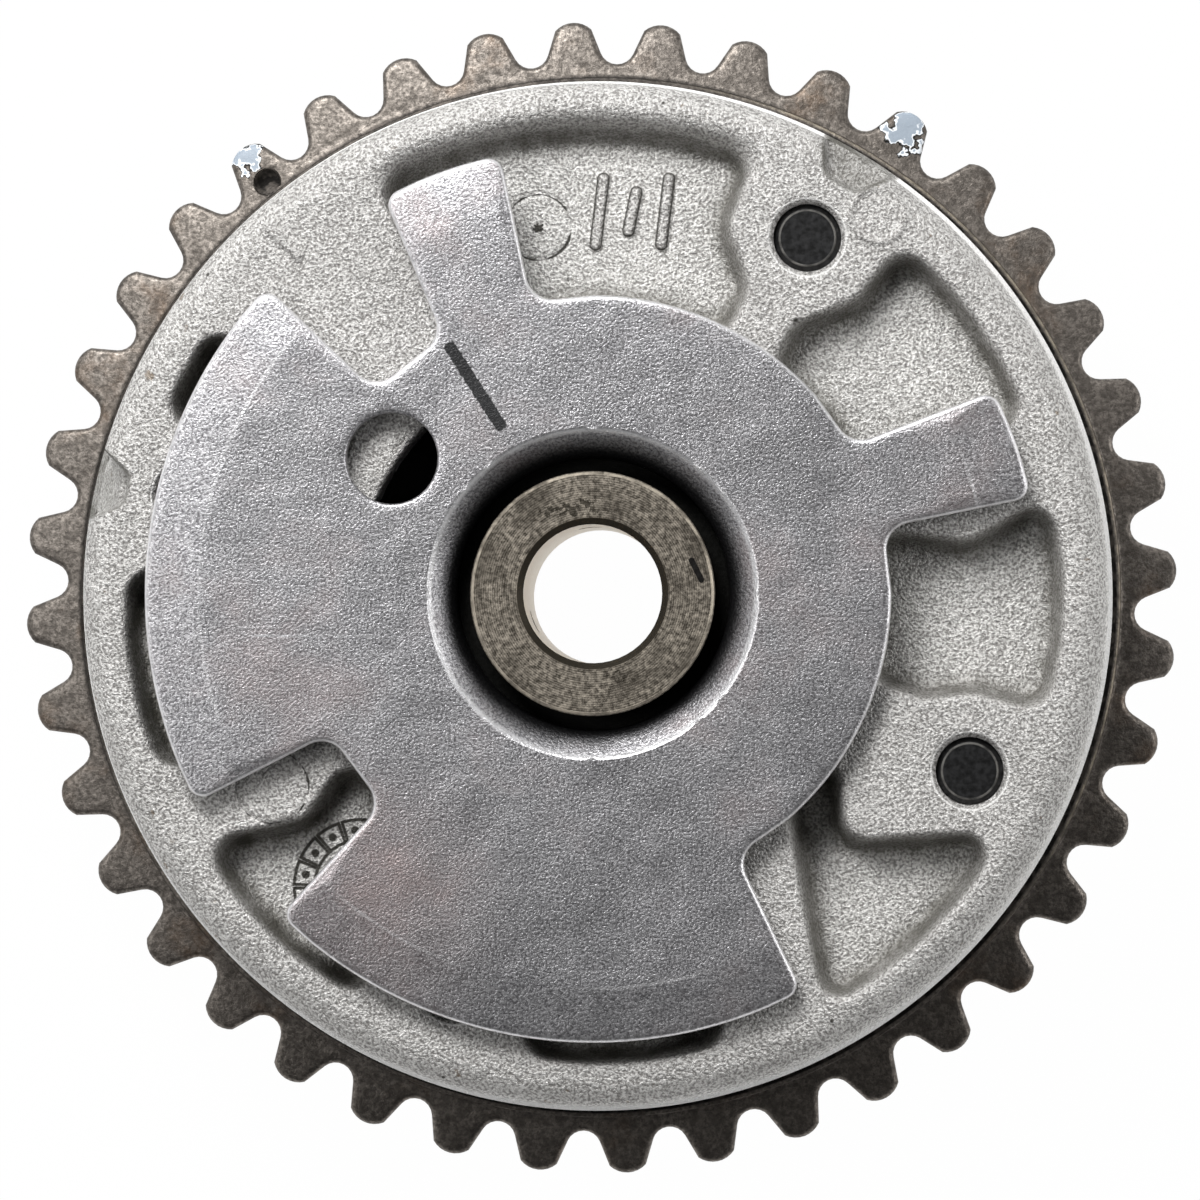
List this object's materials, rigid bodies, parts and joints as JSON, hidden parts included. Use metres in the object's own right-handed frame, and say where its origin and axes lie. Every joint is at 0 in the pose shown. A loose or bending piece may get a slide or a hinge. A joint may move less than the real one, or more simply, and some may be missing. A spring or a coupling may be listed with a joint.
{
  "type": "cam phaser",
  "caption": "Vane cam phaser: chain sprocket carrying a cast housing, a vaned rotor inside it and a lobed trigger wheel on the rotor's nose.",
  "frame": {"origin": "on the camshaft axis in the rear face of the sprocket hub, which the part rests on", "axes": "+Z along the camshaft axis towards the front, +X and +Y as right and up in the picture"},
  "size_m": [0.1046, 0.1046, 0.0345],
  "materials": {
    "sintered_steel": "dark sintered steel, matte and oily",
    "cast_aluminium": "shot-blasted casting",
    "black_steel": "black oxide",
    "machined_steel": "turned, lightly oiled",
    "pressed_steel": "satin cold-rolled sheet",
    "hard_steel": "ground",
    "spring_steel": "bright wire and strip",
    "seal_plastic": "moulded",
    "seal_rubber": "moulded"
  },
  "bodies": {
    "stator": {"sprocket": "sintered_steel", "housing": "cast_aluminium", "housing_screws": "black_steel", "locating_pin": "spring_steel", "face_seal": "seal_rubber", "lock_pin_seat": "hard_steel", "shoe_seal_1": "seal_plastic", "shoe_seal_2": "seal_plastic", "shoe_seal_3": "seal_plastic", "shoe_seal_4": "seal_plastic", "shoe_spring_1": "spring_steel", "shoe_spring_2": "spring_steel", "shoe_spring_3": "spring_steel", "shoe_spring_4": "spring_steel"},
    "rotor": {"rotor": "machined_steel", "trigger_wheel": "pressed_steel", "lock_pin_spring": "spring_steel", "lock_pin_cap": "hard_steel", "vane_seal_1": "seal_plastic", "vane_seal_2": "seal_plastic", "vane_seal_3": "seal_plastic", "vane_seal_4": "seal_plastic", "vane_spring_1": "spring_steel", "vane_spring_2": "spring_steel", "vane_spring_3": "spring_steel", "vane_spring_4": "spring_steel"},
    "lock_pin": {"lock_pin": "hard_steel"}
  },
  "joints": [
    {"name": "rotor_phase", "type": "hinge", "parent": "stator", "child": "rotor", "pos_m": [0, 0, 0], "axis": [0, 0, -1], "range_deg": [0, 20]},
    {"name": "lock_pin_slide", "type": "slide", "parent": "rotor", "child": "lock_pin", "axis": [0, 0, 1], "range_m": [0, 0.001], "stiffness_N_per_m": 300, "springref_m": -0.004, "deforming": ["lock_pin_spring"]}
  ]
}
